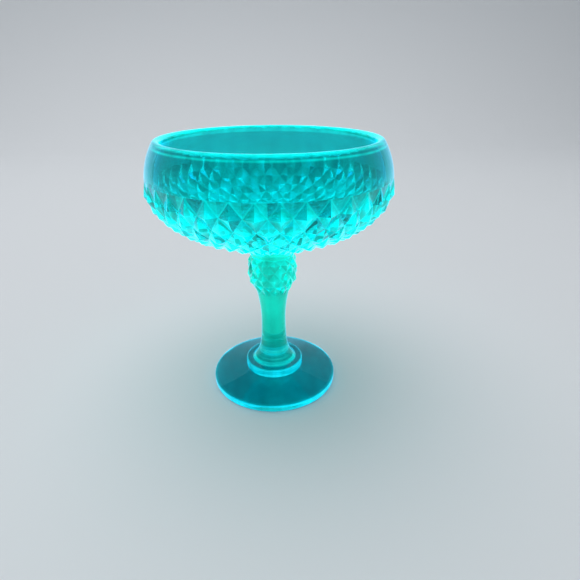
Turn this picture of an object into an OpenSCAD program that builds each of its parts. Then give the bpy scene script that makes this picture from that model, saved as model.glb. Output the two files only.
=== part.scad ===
// Footed dish in pressed glass: a bowl covered in diamonds under a smooth rounded collar,
// on a solid stem with a diamond knop, standing on a round foot with one raised step.

/* [Overall] */
// Height from the table to the top of the rim
dish_h = 183.8; // [176:0.1:192]

/* [Bowl] */
// Radius over the points at the widest part of the bowl
bowl_r = 81.8; // [79:0.1:84]
// Height of the widest part of the bowl
wide_z = 157; // [154:0.5:159]
// Height of the outside of the bowl where its curve would meet the axis
bowl_base_z = 113; // [112:0.5:115]
// Radius of the smooth collar at the widest part
collar_r = 80.1; // [77:0.1:81]
// Radius of the curve that draws the collar in towards the rim
collar_curve = 48; // [45:1:60]
// Height where the diamonds end and the smooth collar begins
collar_z = 161.6; // [159:0.1:165]
// Thickness of glass from the inside of the bowl to the grooves
wall_t = 4.4; // [3:0.1:6]
// Thickness of glass under the floor of the bowl
floor_t = 7.5; // [6:0.5:10]
// Radius of the rounded top of the rim
rim_round = 2.7; // [1.8:0.1:3]

/* [Bowl diamonds] */
// Diamonds in one row round the bowl
bowl_diamonds = 38; // [30:1:44]
// Turn of the bowl's diamonds about the upright axis, in degrees
bowl_turn = -1.3; // [-5:0.1:5]
// Levels of points from the collar to the underside
bowl_levels = 12; // [10:1:13]
// Distance down from the collar to the first points
first_drop = 9.4; // [8:0.1:10]
// Distance from one level to the next, as a share of the radius there
level_share = 0.118; // [0.1:0.002:0.13]
// Height of the points over the grooves, as a share of the radius
point_share = 0.034; // [0.02:0.001:0.04]

/* [Stem] */
// Radius of the thinnest part of the stem
stem_r = 9.1; // [8:0.1:11]
// Height where the stem meets the knop
stem_top_z = 75.5; // [72:0.5:77]
// Radius that the flare at the foot of the stem adds
flare_r = 7.9; // [6:0.1:8.5]
// Height over which that flare dies away
flare_h = 7.5; // [6:0.1:9]
// Radius that the stem gains on its way up to the knop
swell_r = 2.9; // [2:0.1:4]

/* [Knop] */
// Radius over the points at the middle of the knop
knop_r = 18.2; // [17:0.1:20]
// Height of the top face of the knop
knop_top_z = 104; // [102:0.5:105]
// Diamonds in one row round the knop
knop_diamonds = 12; // [10:1:16]
// Turn of the knop's diamonds about the upright axis, in degrees
knop_turn = 5.5; // [-15:0.5:15]
// Distance from the ends of the knop to the first and last points
knop_lead = 3.6; // [3:0.1:4.5]
// Levels of points up the knop
knop_levels = 5; // [4:1:6]
// Height of the points over the grooves
knop_point_h = 1.3; // [0.8:0.1:1.6]
// Radius of the smooth neck between the knop and the bowl
neck_r = 14.6; // [13:0.1:15]

/* [Foot] */
// Radius of the foot
foot_r = 47.9; // [44:0.1:52]
// Height of the upright edge of the foot
foot_edge_h = 5; // [4:0.5:7]
// Height of the top of the foot where it meets the step
foot_top_z = 11; // [9:0.5:12]
// Inner radius of the ring that the foot rests on
rest_ring_r = 38; // [34:0.5:41]
// Depth of the hollow under the foot
hollow_h = 2.6; // [2:0.1:4]
// Radius of the raised step
step_r = 22; // [20:0.5:24]
// Height of the top of the raised step
step_top_z = 17; // [15.5:0.5:18]

/* [Hidden] */
$fn = 96;

// Collar and rim
rim_z = dish_h - rim_round;
collar_x = collar_r - collar_curve;
rim_turn = asin((rim_z - wide_z) / (collar_curve - rim_round));
rim_x = collar_x + (collar_curve - rim_round) * cos(rim_turn);
collar_lap = 0.2;
collar_turn = asin((collar_z - collar_lap - wide_z) / collar_curve);

// Inside of the bowl
in_r = bowl_r * (1 - point_share) - wall_t;
in_depth = wide_z - bowl_base_z - floor_t;
in_x = (pow(in_r + rim_round, 2) - pow(rim_x, 2) - pow(rim_z - wide_z, 2))
     / (2 * (in_r + rim_round - rim_x));
in_curve = in_r - in_x;
in_turn = atan2(rim_z - wide_z, rim_x - in_x);

// Outside of the bowl
out_depth = wide_z - bowl_base_z;
first_turn = asin((wide_z - collar_z + first_drop) / out_depth);
bowl_turns = [for (k = [1 : bowl_levels]) level_turn(k)];

// Points along an arc, each as [radius from the axis, height].
function arc(x, z, r, from, to, steps) =
    [for (i = [0 : steps]) let (a = from + (to - from) * i / steps) [x + r * cos(a), z + r * sin(a)]];

// Points along a quarter of an ellipse, from its widest point down to the axis.
function bowl_curve(r, depth, steps) =
    [for (i = [0 : steps]) let (a = 90 * i / steps) [r * cos(a), wide_z - depth * sin(a)]];

// Where each level of points lies on the outside of the bowl, as an angle down its ellipse.
function level_turn(k) =
    k == 1 ? first_turn :
    let (a = level_turn(k - 1), pace = norm([bowl_r * sin(a), out_depth * cos(a)]))
    a + level_share * bowl_r * cos(a) / pace * 180 / PI;

// A point on the outside of the bowl, sunk by a depth square to its surface.
function bowl_point(a, sink) =
    let (way = [out_depth * cos(a), -bowl_r * sin(a)])
    [bowl_r * cos(a), wide_z - out_depth * sin(a)] - way / norm(way) * sink;

// The flat face where the neck meets the bowl, as its radius and height.
last_turn = bowl_turns[bowl_levels - 1];
neck_top = bowl_point(last_turn, point_share * bowl_r * cos(last_turn));

// Radius over the points of the knop at a height: a barrel with a taper at each end.
function knop_point(z) =
    min(knop_r - 0.011 * pow(z - 92, 2),
        stem_r + swell_r + 0.6 * (z - stem_top_z),
        neck_r + 0.7 + 0.6 * (knop_top_z - z));

// Radius of the stem at a height.
function stem_at(z) =
    stem_r
    + flare_r * exp((step_top_z - z) / flare_h)
    + swell_r * pow(max(0, z - 50) / (stem_top_z - 50), 2);

// A closed solid whose side is a net of pyramids. The first and last rings are plain, and
// between them points and grooves take turns round each ring and from ring to ring.
module diamond_net(count, points, grooves) {
    ring = 2 * count;
    last = len(grooves) - 1;
    corners = [
        for (k = [0 : last])
            for (j = [0 : ring - 1])
                let (
                    raised = (j + k) % 2 == 1 && k > 0 && k < last,
                    p = raised ? points[k] : grooves[k],
                    a = 180 / count * j
                )
                [p[0] * cos(a), p[0] * sin(a), p[1]]
    ];
    side = [
        for (k = [0 : last - 1])
            for (j = [0 : ring - 1])
                let (
                    a = k * ring + j,
                    b = k * ring + (j + 1) % ring,
                    c = b + ring,
                    d = a + ring
                )
                each ((j + k) % 2 == 0 ? [[a, b, c], [a, c, d]] : [[a, b, d], [b, c, d]])
    ];
    top = [for (j = [ring - 1 : -1 : 0]) j];
    bottom = [for (j = [0 : ring - 1]) last * ring + j];
    polyhedron(points = corners, faces = concat([top], side, [bottom]), convexity = 6);
}

// The foot: a low cone with an upright edge and soft corners, slightly hollow inside its
// resting ring.
module foot() {
    soft = 0.9;
    slope = atan2(foot_top_z - foot_edge_h, foot_r - step_r);
    color([0.02, 0.5, 0.56])
        rotate_extrude()
            polygon(concat(
                [for (i = [0 : 8]) [rest_ring_r * i / 8, hollow_h * (1 - pow(i / 8, 2))]],
                arc(foot_r - soft, soft, soft, -90, 0, 5),
                arc(foot_r - soft, foot_edge_h - soft, soft, 0, 90 - slope, 5),
                [[step_r, foot_top_z], [0, foot_top_z]]
            ));
}

// The raised step on the foot, with a softened top edge.
module foot_step() {
    soft = 1.2;
    color([0.04, 0.75, 0.85])
        rotate_extrude()
            polygon(concat(
                [[0, foot_top_z], [step_r, foot_top_z]],
                arc(step_r - soft, step_top_z - soft, soft, 0, 90, 5),
                [[0, step_top_z]]
            ));
}

// The solid stem, flared at its foot and swelling a little towards the knop.
module stem() {
    steps = 32;
    color([0.1, 0.8, 0.7])
        rotate_extrude()
            polygon(concat(
                [[0, step_top_z]],
                [for (i = [0 : steps])
                    let (z = step_top_z + (stem_top_z - step_top_z) * i / steps) [stem_at(z), z]],
                [[0, stem_top_z]]
            ));
}

// The knop: a barrel of diamond points between the stem and the neck.
module knop() {
    pitch = (knop_top_z - stem_top_z - 2 * knop_lead) / (knop_levels - 1);
    heights = concat(
        [knop_top_z],
        [for (k = [0 : knop_levels - 1]) knop_top_z - knop_lead - k * pitch],
        [stem_top_z]
    );
    points = [for (z = heights) [knop_point(z), z]];
    last = knop_levels + 1;
    grooves = [for (k = [0 : last]) k == 0 || k == last ? points[k] : points[k] - [knop_point_h, 0]];
    color([0, 0.85, 0.8])
        rotate([0, 0, knop_turn])
            diamond_net(knop_diamonds, points, grooves);
}

// The short smooth neck that opens out from the knop to carry the bowl.
module neck() {
    steps = 8;
    rise = neck_top[1] - knop_top_z;
    color([0, 0.8, 0.8])
        rotate_extrude()
            polygon(concat(
                [[0, knop_top_z]],
                [for (i = [0 : steps])
                    [neck_r + (neck_top[0] - neck_r) * pow(i / steps, 3), knop_top_z + rise * i / steps]],
                [[0, neck_top[1]]]
            ));
}

// The glass inside the smooth collar and rim, filled right across.
module collar_fill() {
    rotate_extrude()
        polygon(concat(
            [[0, collar_z - collar_lap]],
            arc(collar_x, wide_z, collar_curve, collar_turn, rim_turn, 9),
            arc(rim_x, rim_z, rim_round, rim_turn + 8, 90, 6),
            [[0, dish_h]]
        ));
}

// The space inside the bowl, running out above the rim.
module bowl_inside() {
    rotate_extrude()
        polygon(concat(
            [[0, dish_h + 5], [rim_x, dish_h + 5]],
            arc(rim_x, rim_z, rim_round, 90, 180 + in_turn, 9),
            arc(in_x, wide_z, in_curve, in_turn - 3, 3, 7),
            bowl_curve(in_r, in_depth, 20)
        ));
}

// The bowl: diamonds from the neck up to a smooth collar, hollowed out to an even wall.
module bowl() {
    start = [collar_x + collar_curve * cos(asin((collar_z - wide_z) / collar_curve)) - 0.1, collar_z];
    points = concat([start], [for (a = bowl_turns) bowl_point(a, 0)]);
    grooves = concat([start], [for (a = bowl_turns) bowl_point(a, point_share * bowl_r * cos(a))]);
    color([0, 0.7, 0.75])
        difference() {
            union() {
                collar_fill();
                rotate([0, 0, bowl_turn])
                    diamond_net(bowl_diamonds, points, grooves);
            }
            bowl_inside();
        }
}

foot();
foot_step();
stem();
knop();
neck();
bowl();
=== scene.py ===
"""The looks of the footed uranium glass dish.

One finely faceted glass mesh takes the place of each CAD node, in a pale studio.
"""
import math
import bpy
from mathutils import Matrix, Vector


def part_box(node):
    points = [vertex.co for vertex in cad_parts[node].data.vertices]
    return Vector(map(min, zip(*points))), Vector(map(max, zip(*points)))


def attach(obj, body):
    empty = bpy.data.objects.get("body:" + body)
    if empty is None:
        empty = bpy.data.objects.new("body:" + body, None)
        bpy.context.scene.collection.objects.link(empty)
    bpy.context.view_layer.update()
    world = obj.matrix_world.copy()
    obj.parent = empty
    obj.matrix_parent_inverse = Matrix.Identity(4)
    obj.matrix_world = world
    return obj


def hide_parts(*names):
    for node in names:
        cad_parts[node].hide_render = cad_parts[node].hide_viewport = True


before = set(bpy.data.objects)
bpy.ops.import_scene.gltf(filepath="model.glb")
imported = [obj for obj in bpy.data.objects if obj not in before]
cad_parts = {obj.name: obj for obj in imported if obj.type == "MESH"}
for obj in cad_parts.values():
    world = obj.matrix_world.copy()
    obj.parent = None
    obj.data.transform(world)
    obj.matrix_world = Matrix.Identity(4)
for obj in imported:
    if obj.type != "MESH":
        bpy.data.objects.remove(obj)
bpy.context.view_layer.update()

# ---- sizes, in metres -----------------------------------------------------------------------

MM = 0.001

# From the boxes of the CAD nodes.
FOOT_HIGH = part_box("foot")[1]
STEP_LOW, STEP_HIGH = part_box("foot_step")
STEM_LOW, STEM_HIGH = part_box("stem")
KNOP_LOW, KNOP_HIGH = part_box("knop")
NECK_LOW, NECK_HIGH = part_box("neck")
BOWL_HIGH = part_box("bowl")[1]
FOOT_R = FOOT_HIGH[0]
STEP_R = STEP_HIGH[0]
FLARE_R = STEM_HIGH[0]
NECK_TOP_R = NECK_HIGH[0]
RIM_Z = BOWL_HIGH[2]

# The bowl, as part.scad draws it: an ellipse below the collar and an arc above it.
BOWL_R = 81.8 * MM
WIDE_Z = 157 * MM
BOWL_BASE_Z = 113 * MM
OUT_DEPTH = WIDE_Z - BOWL_BASE_Z
COLLAR_R = 80.1 * MM
COLLAR_CURVE = 48 * MM
COLLAR_X = COLLAR_R - COLLAR_CURVE
COLLAR_Z = 161.6 * MM
# How far the collar stands out past the top of the diamonds.
COLLAR_OVERHANG = 0.1 * MM
RIM_ROUND = 2.7 * MM
WALL_T = 4.4 * MM
FLOOR_T = 7.5 * MM

# The bowl's diamonds, as part.scad counts and spaces them.
BOWL_DIAMONDS = 38
BOWL_LEVELS = 12
BOWL_TURN = math.radians(-1.3)
FIRST_DROP = 9.4 * MM
LEVEL_SHARE = 0.118
POINT_SHARE = 0.034

# The knop and its diamonds: a barrel of which KNOP_BULGE, per metre, gives the roundness.
KNOP_DIAMONDS = 12
KNOP_LEVELS = 5
KNOP_TURN = math.radians(5.5)
KNOP_LEAD = 3.6 * MM
KNOP_POINT = 1.3 * MM
KNOP_R = 18.2 * MM
KNOP_MIDDLE_Z = 92 * MM
KNOP_BULGE = 11
KNOP_TAPER = 0.6
KNOP_LIP = 0.7 * MM
NECK_R = 14.6 * MM

# The stem: a flare that dies away over FLARE_H, and a swell that begins at SWELL_Z.
STEM_R = 9.1 * MM
FLARE_H = 7.5 * MM
SWELL_R = 2.9 * MM
SWELL_Z = 50 * MM

# The step and the foot.
STEP_SOFT = 1.2 * MM
REST_RING_R = 38 * MM
HOLLOW_H = 2.6 * MM
FOOT_EDGE_H = 5 * MM
FOOT_SOFT = 0.9 * MM

# Places of the mesh lines across half a diamond, close together beside its ridges and grooves.
STOPS = (0, 0.05, 0.2, 0.5, 0.8, 0.95)
# Rounding of the ridges and grooves, in half diamonds.
RIDGE_SOFT = 0.03
# A fold between two faces that is sharper than this shows as a crisp edge.
SHARP_ANGLE = math.radians(22)


# ---- profiles -------------------------------------------------------------------------------

def arc(x, z, r, start, end, steps):
    """Points (radius, height) along an arc, both ends included, with its angles in degrees."""
    turns = [math.radians(start + (end - start) * i / steps) for i in range(steps + 1)]
    return [(x + r * math.cos(a), z + r * math.sin(a)) for a in turns]


def smooth_abs(x, soft):
    """The size of x, with its corner at zero rounded off."""
    return math.sqrt(x * x + soft * soft) - soft


def pyramid(across, along, last):
    """Height, from 0 to 1, of the net of pyramids at a place counted in half diamonds.

    Points stand where the two counts add up to an odd number, except on the first and last
    levels, where the glass stays plain: there it counts down from 0 to -1, away from the points.
    """
    best = -1.0
    low = math.floor(along)
    for level in (low, low + 1):
        if not 0 < level < last:
            continue
        near = 2 * round((across - 1 + level) / 2) + 1 - level
        reach = smooth_abs(across - near, RIDGE_SOFT) + smooth_abs(along - level, RIDGE_SOFT)
        best = max(best, 1 - reach)
    return best


def bowl_turns():
    """Angles down the bowl's ellipse at each whole level, from the first below the collar."""
    a = math.asin((WIDE_Z - COLLAR_Z + FIRST_DROP) / OUT_DEPTH)
    turns = [a]
    for _ in range(BOWL_LEVELS - 1):
        pace = math.hypot(BOWL_R * math.sin(a), OUT_DEPTH * math.cos(a))
        a += LEVEL_SHARE * BOWL_R * math.cos(a) / pace
        turns.append(a)
    return turns


def bowl_outside(level, turns):
    """The bowl's groove surface at a level.

    Gives its place as (radius, height), the way out from it and the height of the points there.
    """
    if level <= 1:
        a = turns[0]
    else:
        k = min(int(level) - 1, len(turns) - 2)
        a = turns[k] + (turns[k + 1] - turns[k]) * (level - 1 - k)
    way = Vector((OUT_DEPTH * math.cos(a), -BOWL_R * math.sin(a))).normalized()
    sink = POINT_SHARE * BOWL_R * math.cos(a)
    place = Vector((BOWL_R * math.cos(a), WIDE_Z - OUT_DEPTH * math.sin(a))) - way * sink
    if level < 1:
        collar_r = COLLAR_X + math.sqrt(COLLAR_CURVE ** 2 - (COLLAR_Z - WIDE_Z) ** 2)
        place = Vector((collar_r - COLLAR_OVERHANG, COLLAR_Z)).lerp(place, level)
    return place, way, sink


def rim_centre():
    """Centre of the rim's round, and the angle at which the collar runs into it."""
    z = RIM_Z - RIM_ROUND
    turn = math.asin((z - WIDE_Z) / (COLLAR_CURVE - RIM_ROUND))
    return COLLAR_X + (COLLAR_CURVE - RIM_ROUND) * math.cos(turn), z, math.degrees(turn)


def bowl_inside():
    """Points (radius, height) from the top of the rim down the inside, and the floor's height."""
    rim_x, rim_z, _ = rim_centre()
    in_r = BOWL_R * (1 - POINT_SHARE) - WALL_T
    depth = OUT_DEPTH - FLOOR_T
    rise = rim_z - WIDE_Z
    in_x = ((in_r + RIM_ROUND) ** 2 - rim_x ** 2 - rise ** 2) / (2 * (in_r + RIM_ROUND - rim_x))
    turn = math.degrees(math.atan2(rise, rim_x - in_x))
    rim = arc(rim_x, rim_z, RIM_ROUND, 90, 180 + turn, 8)[1:]
    wall = arc(in_x, WIDE_Z, in_r - in_x, turn, 0, 8)[1:]
    floor = [(in_r * math.cos(math.radians(a)), WIDE_Z - depth * math.sin(math.radians(a)))
             for a in range(5, 90, 5)]
    return rim + wall + floor, WIDE_Z - depth


def stem_radius(z):
    """Radius of the stem at a height."""
    flare = (FLARE_R - STEM_R) * math.exp((STEM_LOW[2] - z) / FLARE_H)
    swell = SWELL_R * (max(0, z - SWELL_Z) / (STEM_HIGH[2] - SWELL_Z)) ** 2
    return STEM_R + flare + swell


def knop_radius(z):
    """Radius over the knop's points at a height: a barrel with a taper at each end."""
    barrel = KNOP_R - KNOP_BULGE * (z - KNOP_MIDDLE_Z) ** 2
    foot = STEM_R + SWELL_R + KNOP_TAPER * (z - KNOP_LOW[2])
    head = NECK_R + KNOP_LIP + KNOP_TAPER * (KNOP_HIGH[2] - z)
    return min(barrel, foot, head)


def knop_height(level):
    """Height of a level of the knop, counted down from its top face."""
    last = KNOP_LEVELS + 1
    pitch = (KNOP_HIGH[2] - KNOP_LOW[2] - 2 * KNOP_LEAD) / (KNOP_LEVELS - 1)
    if level < 1:
        return KNOP_HIGH[2] - KNOP_LEAD * level
    if level > last - 1:
        return KNOP_LOW[2] + KNOP_LEAD * (last - level)
    return KNOP_HIGH[2] - KNOP_LEAD - pitch * (level - 1)


# ---- how strongly each place glows, from 0 to 1 ---------------------------------------------

NECK_GLOW = 0.35
STEP_GLOW = 0.36
FOOT_GLOW = 0.06
# The glow at the middle of the knop's and the bowl's joint faces, and round the two that meet
# the neck.
JOINT_GLOW = 0.5
# The facet light of faces that aren't facets, in the middle of its range.
PLAIN_LIGHT = 0.5
# How far the knop's facet lights lie apart, up to 1.
KNOP_SPREAD = 0.45
# How much closer together the bowl's facet lights lie with each level down.
BOWL_CALM = 0.05


def ease(x):
    """0 below 0, 1 above 1, and a soft step between."""
    x = min(1, max(0, x))
    return x * x * (3 - 2 * x)


def point_glow(z, rise):
    """The bowl's diamonds: brighter towards the points, and brighter all over lower down."""
    start_z, reach = COLLAR_Z - 4 * MM, 34 * MM
    low = ease((start_z - z) / reach)
    return 0.12 + 0.3 * low + rise ** 2 * (0.44 + 0.08 * low)


def smooth_glow(z):
    """The collar and the inside: dim, but for the rim and, growing downwards, the floor."""
    rim_reach, floor_reach = 2.2 * MM, 58 * MM
    rim = ease(1 - (RIM_Z - z) / rim_reach)
    floor = ease(1 - (z - BOWL_BASE_Z) / floor_reach)
    return 0.03 + 0.4 * rim + 0.3 * floor


def rim_line(z):
    """The thin bright line round the outside, just below the rim."""
    drop, width = 3.2 * MM, 0.5 * MM
    return 0.3 * math.exp(-((RIM_Z - drop - z) / width) ** 2)


def knop_glow(z, rise):
    """The knop: the same at every height, and brighter on the points."""
    return 0.34 + 0.22 * rise ** 2


def stem_glow(z):
    """The stem: brighter upwards."""
    reach = 40 * MM
    return 0.11 + 0.08 * ease((z - STEM_LOW[2]) / reach)


def foot_glow(r):
    """The foot: dim, with a bright edge."""
    reach = 1.2 * MM
    return FOOT_GLOW + 0.31 * ease(1 - (FOOT_R - r) / reach)


def facet_light(column, level, side):
    """The light of one facet of a diamond, from 0 to 1: a fraction that shows no pattern."""
    return math.sin(12.99 * column + 78.23 * level + 37.72 * side) * 43758.5 % 1


# ---- meshes ---------------------------------------------------------------------------------

def circle(r, z, count, glow):
    """One ring of points round the axis, each as x, y, z, its glow and its share of a groove."""
    turns = [2 * math.pi * j / count for j in range(count)]
    return [(r * math.cos(a), r * math.sin(a), z, glow, 0) for a in turns]


def net_circle(r, z, diamonds, glow, turn):
    """One ring of points round the axis, at the places that a diamond net's rings have."""
    turns = [turn + math.pi / diamonds * (j + stop) for j in range(2 * diamonds) for stop in STOPS]
    return [(r * math.cos(a), r * math.sin(a), z, glow, 0) for a in turns]


def net_ring(place, level, last, diamonds, turn, glow):
    """One ring of a diamond net.

    place is the groove surface as (radius, height), the points' way out and their height. glow
    gives the light of a spot from its height and from how far up its pyramid it is.
    """
    base, way, sink = place
    ring = []
    for j in range(2 * diamonds):
        for stop in STOPS:
            near = pyramid(j + stop, level, last)
            rise = max(0, near)
            groove = 1 if level == 0 else 1 - abs(near)
            r = base[0] + way[0] * rise * sink
            z = base[1] + way[1] * rise * sink
            a = turn + math.pi / diamonds * (j + stop)
            ring.append((r * math.cos(a), r * math.sin(a), z, glow(z, rise), groove))
    return ring


def join_rings(a, b, a_start, b_start):
    """The faces between two rings of points, either of which may be a single point."""
    count = max(len(a), len(b))
    faces = []
    for j in range(count):
        i = (j + 1) % count
        first = [a_start + j, a_start + i] if len(a) > 1 else [a_start]
        then = [b_start + i, b_start + j] if len(b) > 1 else [b_start]
        faces.append(first + then)
    return faces


def join_net(count, a_start, b_start, level, down, spread):
    """The faces between two rings of a net, cut along its grooves, and the light of each.

    The first ring is the lower one. level is the whole level above both, down is the place in
    STOPS of the upper ring, and spread is how far, up to 1, the facets' lights lie apart.
    """
    faces, lights = [], []
    for j in range(count):
        i = (j + 1) % count
        column, across = divmod(j, len(STOPS))
        low, low_next, high, high_next = a_start + j, a_start + i, b_start + j, b_start + i
        if (column + level) % 2 == 0:
            faces += [(low, low_next, high), (low_next, high_next, high)]
            left, right = facet_light(column, level + 1, 0), facet_light(column + 1, level, 1)
            side = across - down
        else:
            faces += [(low, high_next, high), (low, low_next, high_next)]
            left, right = facet_light(column, level, 2), facet_light(column + 1, level + 1, 3)
            side = across + down - (len(STOPS) - 1)
        lights += [left if side <= 0 else right, right if side >= 0 else left]
    return faces, [PLAIN_LIGHT + (light - PLAIN_LIGHT) * spread for light in lights]


def carry(mesh, name, domain, values):
    """Stores one value for each point or face of a mesh, for the materials to read."""
    mesh.attributes.new(name, "FLOAT", domain).data.foreach_set("value", values)


def turned(name, rings, joints=(), nets=()):
    """A closed piece from rings of points, each ring a list of the same length.

    A ring of one point closes the skin at the axis. A point is x, y, z, its glow and its share of
    a groove. joints holds the places in rings where a flat joint face starts, up to the next ring.
    nets gives what join_net needs to know of each band of diamonds, by the place of its lower
    ring in rings.
    """
    verts, faces, slots, lights, cuts, starts = [], [], [], [], [], []
    for ring in rings:
        starts.append(len(verts))
        verts += ring
    for k in range(len(rings) - 1):
        if k in nets:
            band, light = join_net(len(rings[k]), starts[k], starts[k + 1], *nets[k])
        else:
            band = join_rings(rings[k], rings[k + 1], starts[k], starts[k + 1])
            light = [PLAIN_LIGHT] * len(band)
        faces += band
        lights += light
        cuts += [1 if k in nets else 0] * len(band)
        slots += [1 if k in joints else 0] * len(band)
    mesh = bpy.data.meshes.new(name)
    mesh.from_pydata([v[:3] for v in verts], [], faces)
    piece = bpy.data.objects.new(name, mesh)
    bpy.context.scene.collection.objects.link(piece)
    mesh.polygons.foreach_set("material_index", slots)
    mesh.polygons.foreach_set("use_smooth", [slot == 0 for slot in slots])
    carry(mesh, "glow", "POINT", [v[3] for v in verts])
    carry(mesh, "groove", "POINT", [v[4] for v in verts])
    carry(mesh, "facet", "FACE", lights)
    carry(mesh, "cut", "FACE", cuts)
    mesh.set_sharp_from_angle(angle=SHARP_ANGLE)
    mesh.update()
    return piece


def finish_piece(piece, node, materials):
    """Puts a piece in place of its CAD node, with its materials."""
    for material in materials:
        piece.data.materials.append(material)
    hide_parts(node)
    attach(piece, "root")


def bowl_diamonds():
    """The bowl's rings from the middle of its joint face up to the collar, and its nets."""
    turns = bowl_turns()
    base_r, base_z = bowl_outside(BOWL_LEVELS, turns)[0]
    rings = [
        [(0, 0, base_z, JOINT_GLOW, 0)],
        net_circle(base_r, base_z, BOWL_DIAMONDS, JOINT_GLOW, BOWL_TURN),
    ]
    nets = {}
    for level in range(BOWL_LEVELS - 1, -1, -1):
        spread = 1 - BOWL_CALM * level
        for down, stop in reversed(list(enumerate(STOPS))):
            nets[len(rings) - 1] = (level, down, spread)
            place = bowl_outside(level + stop, turns)
            rings.append(net_ring(place, level + stop, BOWL_LEVELS, BOWL_DIAMONDS, BOWL_TURN,
                                  point_glow))
    return rings, nets


def make_bowl():
    """Diamonds from the neck up to the collar, the rim's round, and the smooth inside."""
    rings, nets = bowl_diamonds()
    rim_x, rim_z, rim_turn = rim_centre()
    fine_turn = rim_turn - 6
    collar_turn = math.degrees(math.asin((COLLAR_Z - WIDE_Z) / COLLAR_CURVE))
    collar = arc(COLLAR_X, WIDE_Z, COLLAR_CURVE, collar_turn, fine_turn, 10)
    collar += arc(COLLAR_X, WIDE_Z, COLLAR_CURVE, fine_turn, rim_turn, 12)[1:]
    rim = arc(rim_x, rim_z, RIM_ROUND, rim_turn, 90, 6)[1:]
    inside, floor_z = bowl_inside()
    for r, z in collar:
        rings.append(net_circle(r, z, BOWL_DIAMONDS, smooth_glow(z) + rim_line(z), BOWL_TURN))
    for r, z in rim + inside:
        rings.append(net_circle(r, z, BOWL_DIAMONDS, smooth_glow(z), BOWL_TURN))
    rings.append([(0, 0, floor_z, smooth_glow(floor_z), 0)])
    return turned("bowl_glass_piece", rings, joints=(0,), nets=nets)


def make_neck():
    """The fillet between the knop and the bowl."""
    count, steps = 144, 14
    low, high = NECK_LOW[2], NECK_HIGH[2]
    rings = [[(0, 0, low, NECK_GLOW, 0)]]
    for i in range(steps + 1):
        r = NECK_R + (NECK_TOP_R - NECK_R) * (i / steps) ** 3
        rings.append(circle(r, low + (high - low) * i / steps, count, NECK_GLOW))
    rings.append([(0, 0, high, NECK_GLOW, 0)])
    return turned("neck_glass_piece", rings, joints=(0, len(rings) - 2))


def make_knop():
    """The barrel of diamond points."""
    last = KNOP_LEVELS + 1
    low, high = KNOP_LOW[2], KNOP_HIGH[2]
    rings = [[(0, 0, low, JOINT_GLOW, 0)]]
    nets = {}
    for level in range(last, -1, -1):
        for down, stop in reversed(list(enumerate(STOPS if level < last else STOPS[:1]))):
            z = knop_height(level + stop)
            sink = KNOP_POINT * min(1, level + stop, last - level - stop)
            place = (Vector((knop_radius(z) - sink, z)), Vector((1, 0)), KNOP_POINT)
            if level < last:
                nets[len(rings) - 1] = (level, down, KNOP_SPREAD)
            rings.append(net_ring(place, level + stop, last, KNOP_DIAMONDS, KNOP_TURN, knop_glow))
    rings.append(net_circle(NECK_R, high, KNOP_DIAMONDS, JOINT_GLOW, KNOP_TURN))
    rings.append([(0, 0, high, JOINT_GLOW, 0)])
    return turned("knop_glass_piece", rings, joints=(0, len(rings) - 2), nets=nets)


def make_stem():
    """The smooth solid stem, with its rings closer together down in the flare."""
    count, steps, crowding = 144, 60, 1.5
    low, high = STEM_LOW[2], STEM_HIGH[2]
    rings = [[(0, 0, low, stem_glow(low), 0)]]
    for i in range(steps + 1):
        z = low + (high - low) * (i / steps) ** crowding
        rings.append(circle(stem_radius(z), z, count, stem_glow(z)))
    rings.append([(0, 0, high, stem_glow(high), 0)])
    return turned("stem_glass_piece", rings, joints=(0, len(rings) - 2))


def make_step():
    """The raised step, with its top edge softened and only its side glowing."""
    count, side_steps, top_pace = 192, 4, 1.3 * MM
    low, high = STEP_LOW[2], STEP_HIGH[2]
    soft_r, soft_z = STEP_R - STEP_SOFT, high - STEP_SOFT
    outline = [(STEP_R, low + (soft_z - low) * i / side_steps) for i in range(side_steps + 1)]
    outline += arc(soft_r, soft_z, STEP_SOFT, 0, 90, 8)[1:]
    outline += [(soft_r - top_pace * i, high) for i in (1, 2)]
    rings = [[(0, 0, low, STEP_GLOW, 0)]]
    rings += [circle(r, z, count, STEP_GLOW if r > soft_r else FOOT_GLOW) for r, z in outline]
    rings += [circle(FLARE_R, high, count, FOOT_GLOW), [(0, 0, high, FOOT_GLOW, 0)]]
    return turned("step_glass_piece", rings, joints=(0, len(rings) - 2))


def make_foot():
    """The round foot: hollow underneath, an upright edge with soft corners and a sloping top."""
    count, hollow_steps, top_steps = 256, 12, 16
    top = FOOT_HIGH[2]
    slope = math.degrees(math.atan2(top - FOOT_EDGE_H, FOOT_R - STEP_R))
    outline = [(REST_RING_R * i / hollow_steps, HOLLOW_H * (1 - (i / hollow_steps) ** 2))
               for i in range(1, hollow_steps + 1)]
    outline += arc(FOOT_R - FOOT_SOFT, FOOT_SOFT, FOOT_SOFT, -90, 0, 6)
    outline += arc(FOOT_R - FOOT_SOFT, FOOT_EDGE_H - FOOT_SOFT, FOOT_SOFT, 0, 90 - slope, 6)
    edge_r, edge_z = outline[-1]
    outline += [(edge_r + (STEP_R - edge_r) * i / top_steps, edge_z + (top - edge_z) * i / top_steps)
                for i in range(1, top_steps + 1)]
    rings = [[(0, 0, HOLLOW_H, FOOT_GLOW, 0)]]
    rings += [circle(r, z, count, foot_glow(r)) for r, z in outline]
    rings.append([(0, 0, top, FOOT_GLOW, 0)])
    return turned("foot_glass_piece", rings, joints=(len(rings) - 2,))


# ---- materials --------------------------------------------------------------------------------

# The tint of what the glass mirrors, with very little red.
SHINE = (0.1, 0.8, 1.0)
# The glow of glass that is seen edge on.
EDGE_LIGHT = (0.0, 0.42, 0.75)


def fresh_tree(material):
    """The node tree of a material, emptied."""
    material.use_nodes = True
    material.node_tree.nodes.clear()
    return material.node_tree


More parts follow.
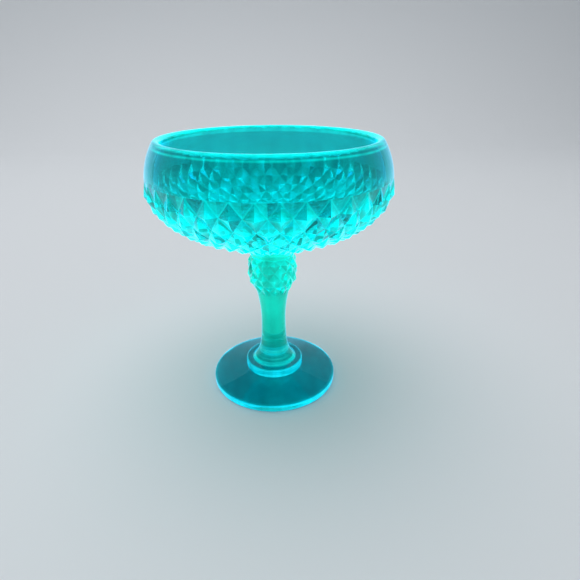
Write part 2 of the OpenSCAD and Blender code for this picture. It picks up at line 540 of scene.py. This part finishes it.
def attribute(tree, name):
    """A value that the mesh carries."""
    node = tree.nodes.new("ShaderNodeAttribute")
    node.attribute_name = name
    return node.outputs["Fac"]


def noise(tree, place, scale, detail):
    """Soft unevenness, from 0 to 1 and mostly near 0.5."""
    node = tree.nodes.new("ShaderNodeTexNoise")
    node.inputs["Scale"].default_value = scale
    node.inputs["Detail"].default_value = detail
    tree.links.new(place, node.inputs["Vector"])
    return node.outputs["Fac"]


def maths(tree, operation, first, then):
    """One sum or product of two values."""
    node = tree.nodes.new("ShaderNodeMath")
    node.operation = operation
    tree.links.new(first, node.inputs[0])
    tree.links.new(then, node.inputs[1])
    return node.outputs["Value"]


def ranged(tree, value, source, target):
    """The value, stretched from one range to another and held at its ends."""
    node = tree.nodes.new("ShaderNodeMapRange")
    node.inputs["From Min"].default_value, node.inputs["From Max"].default_value = source
    node.inputs["To Min"].default_value, node.inputs["To Max"].default_value = target
    tree.links.new(value, node.inputs["Value"])
    return node.outputs["Result"]


def ramp(tree, value, *stops):
    """A colour from a value. Each stop is a colour and its place, from 0 to 1."""
    node = tree.nodes.new("ShaderNodeValToRGB")
    for _ in stops[2:]:
        node.color_ramp.elements.new(1)
    for element, (colour, place) in zip(node.color_ramp.elements, stops):
        element.position = place
        element.color = (*colour, 1)
    tree.links.new(value, node.inputs["Fac"])
    return node.outputs["Color"]


def uneven_share(tree, place):
    """A share from 0.5 to 1.5: fine upright streaks and a soft cloud added together."""
    drawn = tree.nodes.new("ShaderNodeMapping")
    drawn.inputs["Scale"].default_value = (1, 1, 0.12)
    tree.links.new(place, drawn.inputs["Vector"])
    streaks = noise(tree, drawn.outputs["Vector"], 160, 3)
    cloud = noise(tree, place, 55, 3)
    return ranged(tree, maths(tree, "ADD", streaks, cloud), (0.7, 1.3), (0.5, 1.5))


def glow_light(tree, place, green, bright, contrast):
    """The colour of the glow: the mesh's glow times its facet's share, with lighter grooves."""
    facet = ranged(tree, attribute(tree, "facet"), (0.1, 0.9), contrast)
    lit = maths(tree, "MULTIPLY", attribute(tree, "glow"), facet)
    groove = ranged(tree, attribute(tree, "groove"), (0.86, 1.0), (0, 0.25))
    lined = maths(tree, "ADD", lit, groove)
    clouded = maths(tree, "MULTIPLY", lined, uneven_share(tree, place))
    return ramp(tree, clouded, ((0, 0, 0), 0), (green, 0.3), (bright, 1))


def edge_lit(tree, light):
    """The light, turning to EDGE_LIGHT where the glass is seen edge on."""
    layer = tree.nodes.new("ShaderNodeLayerWeight")
    layer.inputs["Blend"].default_value = 0.5
    mix = tree.nodes.new("ShaderNodeMixRGB")
    mix.inputs["Color2"].default_value = (*EDGE_LIGHT, 1)
    tree.links.new(ranged(tree, layer.outputs["Facing"], (0.6, 1.0), (0, 0.8)), mix.inputs["Fac"])
    tree.links.new(light, mix.inputs["Color1"])
    return mix.outputs["Color"]


def faint_bump(tree, place):
    """The slight unevenness that pressing leaves on the surface."""
    bump = tree.nodes.new("ShaderNodeBump")
    bump.inputs["Strength"].default_value = 0.06
    bump.inputs["Distance"].default_value = 1 * MM
    tree.links.new(noise(tree, place, 130, 2), bump.inputs["Height"])
    return bump.outputs["Normal"]


def glass(name, clear, cut, green, bright, contrast):
    """Clear tinted glass that glows: its light follows the mesh's glow, its facets and its grooves.

    clear and cut are the tints of the smooth and the cut faces, and cut is None where there are
    no cut faces. The light runs from black over green to bright, and contrast is the range of the
    facets' shares of it.
    """
    material = bpy.data.materials.new(name)
    tree = fresh_tree(material)
    out = tree.nodes.new("ShaderNodeOutputMaterial")
    shader = tree.nodes.new("ShaderNodeBsdfPrincipled")
    shader.inputs["Roughness"].default_value = 0.03
    shader.inputs["IOR"].default_value = 1.5
    shader.inputs["Transmission Weight"].default_value = 1.0
    shader.inputs["Specular Tint"].default_value = (*SHINE, 1)
    shader.inputs["Emission Strength"].default_value = 1.0
    if cut:
        tint = ramp(tree, attribute(tree, "cut"), (clear, 0), (cut, 1))
        tree.links.new(tint, shader.inputs["Base Color"])
    else:
        shader.inputs["Base Color"].default_value = (*clear, 1)
    place = tree.nodes.new("ShaderNodeTexCoord").outputs["Object"]
    light = glow_light(tree, place, green, bright, contrast)
    tree.links.new(edge_lit(tree, light), shader.inputs["Emission Color"])
    tree.links.new(faint_bump(tree, place), shader.inputs["Normal"])
    tree.links.new(shader.outputs["BSDF"], out.inputs["Surface"])
    return material


def joint_face():
    """Where two sections of the fused glass meet, light goes straight on."""
    material = bpy.data.materials.new("fused_joint")
    tree = fresh_tree(material)
    out = tree.nodes.new("ShaderNodeOutputMaterial")
    clear = tree.nodes.new("ShaderNodeBsdfTransparent")
    tree.links.new(clear.outputs["BSDF"], out.inputs["Surface"])
    return material


def studio_paint():
    """The matt pale surface of the studio."""
    material = bpy.data.materials.new("studio_pale")
    tree = fresh_tree(material)
    out = tree.nodes.new("ShaderNodeOutputMaterial")
    shader = tree.nodes.new("ShaderNodeBsdfPrincipled")
    shader.inputs["Base Color"].default_value = (0.72, 0.74, 0.76, 1)
    shader.inputs["Roughness"].default_value = 0.7
    shader.inputs["Specular IOR Level"].default_value = 0.2
    tree.links.new(shader.outputs["BSDF"], out.inputs["Surface"])
    return material


# ---- studio -----------------------------------------------------------------------------------

# The floor lies this far under the foot, so that the two surfaces never share a plane.
FLOOR_GAP = 0.3 * MM

# The world's soft light from all round.
AIR_COLOUR = (0.86, 0.93, 1.0)
AIR_STRENGTH = 0.28

# The camera's place in metres, its turns in degrees and its lens in millimetres.
CAMERA_PLACE = (0, -0.2924, 0.2181)
CAMERA_DOWN = 26.15
CAMERA_ASIDE = 2.5
CAMERA_ROLL = -0.24
CAMERA_LENS = 27.06
CAMERA_SENSOR = 36


def make_sweep():
    """A pale floor that curves up into a pale wall far behind the dish."""
    back, front, side, bend, top = 1.6, 1.4, 2.2, 0.5, 1.8
    profile = [(-front, 0), (0, 0)]
    profile += [(back - bend + bend * math.sin(math.radians(a)), bend - bend * math.cos(math.radians(a)))
                for a in range(0, 91, 6)]
    profile += [(back, top)]
    verts = [(x, y, z - FLOOR_GAP) for y, z in profile for x in (-side, side)]
    faces = [(2 * i, 2 * i + 1, 2 * i + 3, 2 * i + 2) for i in range(len(profile) - 1)]
    mesh = bpy.data.meshes.new("studio_floor")
    mesh.from_pydata(verts, [], faces)
    mesh.polygons.foreach_set("use_smooth", [True] * len(mesh.polygons))
    floor = bpy.data.objects.new("studio_floor", mesh)
    bpy.context.scene.collection.objects.link(floor)
    mesh.materials.append(studio_paint())


def make_softbox():
    """One large soft lamp overhead, which the glass neither mirrors nor shows through."""
    place, target = Vector((-0.3, 0.2, 2.2)), Vector((0, 0, 0.1))
    light = bpy.data.lights.new("softbox_above", "AREA")
    light.shape = "DISK"
    light.size = 3.0
    light.energy = 42
    lamp = bpy.data.objects.new("softbox_above", light)
    lamp.location = place
    lamp.rotation_euler = (target - place).to_track_quat("-Z", "Y").to_euler()
    lamp.visible_glossy = False
    lamp.visible_transmission = False
    bpy.context.scene.collection.objects.link(lamp)


def make_air():
    """Light from all round, which is also the background above the studio's wall."""
    world = bpy.data.worlds.new("studio_air")
    world.use_nodes = True
    background = world.node_tree.nodes["Background"]
    background.inputs["Color"].default_value = (*AIR_COLOUR, 1)
    background.inputs["Strength"].default_value = AIR_STRENGTH
    bpy.context.scene.world = world


def make_camera():
    """A phone's view from a little above the rim, looking down at the dish."""
    down, aside = math.radians(CAMERA_DOWN), math.radians(CAMERA_ASIDE)
    roll = math.radians(CAMERA_ROLL)
    ahead = Vector((
        math.sin(aside) * math.cos(down),
        math.cos(aside) * math.cos(down),
        -math.sin(down),
    ))
    right = Vector((math.cos(aside), -math.sin(aside), 0))
    up = right.cross(ahead)
    level_right = right * math.cos(roll) + up * math.sin(roll)
    level_up = up * math.cos(roll) - right * math.sin(roll)
    camera = bpy.data.objects.new("camera", bpy.data.cameras.new("camera"))
    camera.data.lens = CAMERA_LENS
    camera.data.sensor_width = CAMERA_SENSOR
    camera.matrix_world = Matrix.Translation(CAMERA_PLACE) @ Matrix((
        (level_right.x, level_up.x, -ahead.x, 0),
        (level_right.y, level_up.y, -ahead.y, 0),
        (level_right.z, level_up.z, -ahead.z, 0),
        (0, 0, 0, 1),
    ))
    bpy.context.scene.collection.objects.link(camera)
    bpy.context.scene.camera = camera


# ---- the scene --------------------------------------------------------------------------------

make_camera()
make_air()
make_softbox()
make_sweep()
bpy.context.scene.view_settings.view_transform = "Standard"

JOINT = joint_face()
BOWL_GLASS = glass(
    "bowl_glass",
    clear=(0.02, 0.52, 0.57),
    cut=(0.01, 0.15, 0.17),
    green=(0.0, 0.34, 0.28),
    bright=(0.0, 0.9, 1.0),
    contrast=(0.1, 1.9),
)
SOLID_GLASS = glass(
    "solid_glass",
    clear=(0.01, 0.45, 0.36),
    cut=(0.01, 0.14, 0.12),
    green=(0.0, 0.3, 0.22),
    bright=(0.0, 0.9, 0.8),
    contrast=(0.5, 1.5),
)
FOOT_GLASS = glass(
    "foot_glass",
    clear=(0.01, 0.42, 0.47),
    cut=None,
    green=(0.0, 0.22, 0.26),
    bright=(0.0, 0.7, 0.95),
    contrast=(1, 1),
)

finish_piece(make_bowl(), "bowl", (BOWL_GLASS, JOINT))
finish_piece(make_neck(), "neck", (SOLID_GLASS, JOINT))
finish_piece(make_knop(), "knop", (SOLID_GLASS, JOINT))
finish_piece(make_stem(), "stem", (SOLID_GLASS, JOINT))
finish_piece(make_step(), "foot_step", (FOOT_GLASS, JOINT))
finish_piece(make_foot(), "foot", (FOOT_GLASS, JOINT))
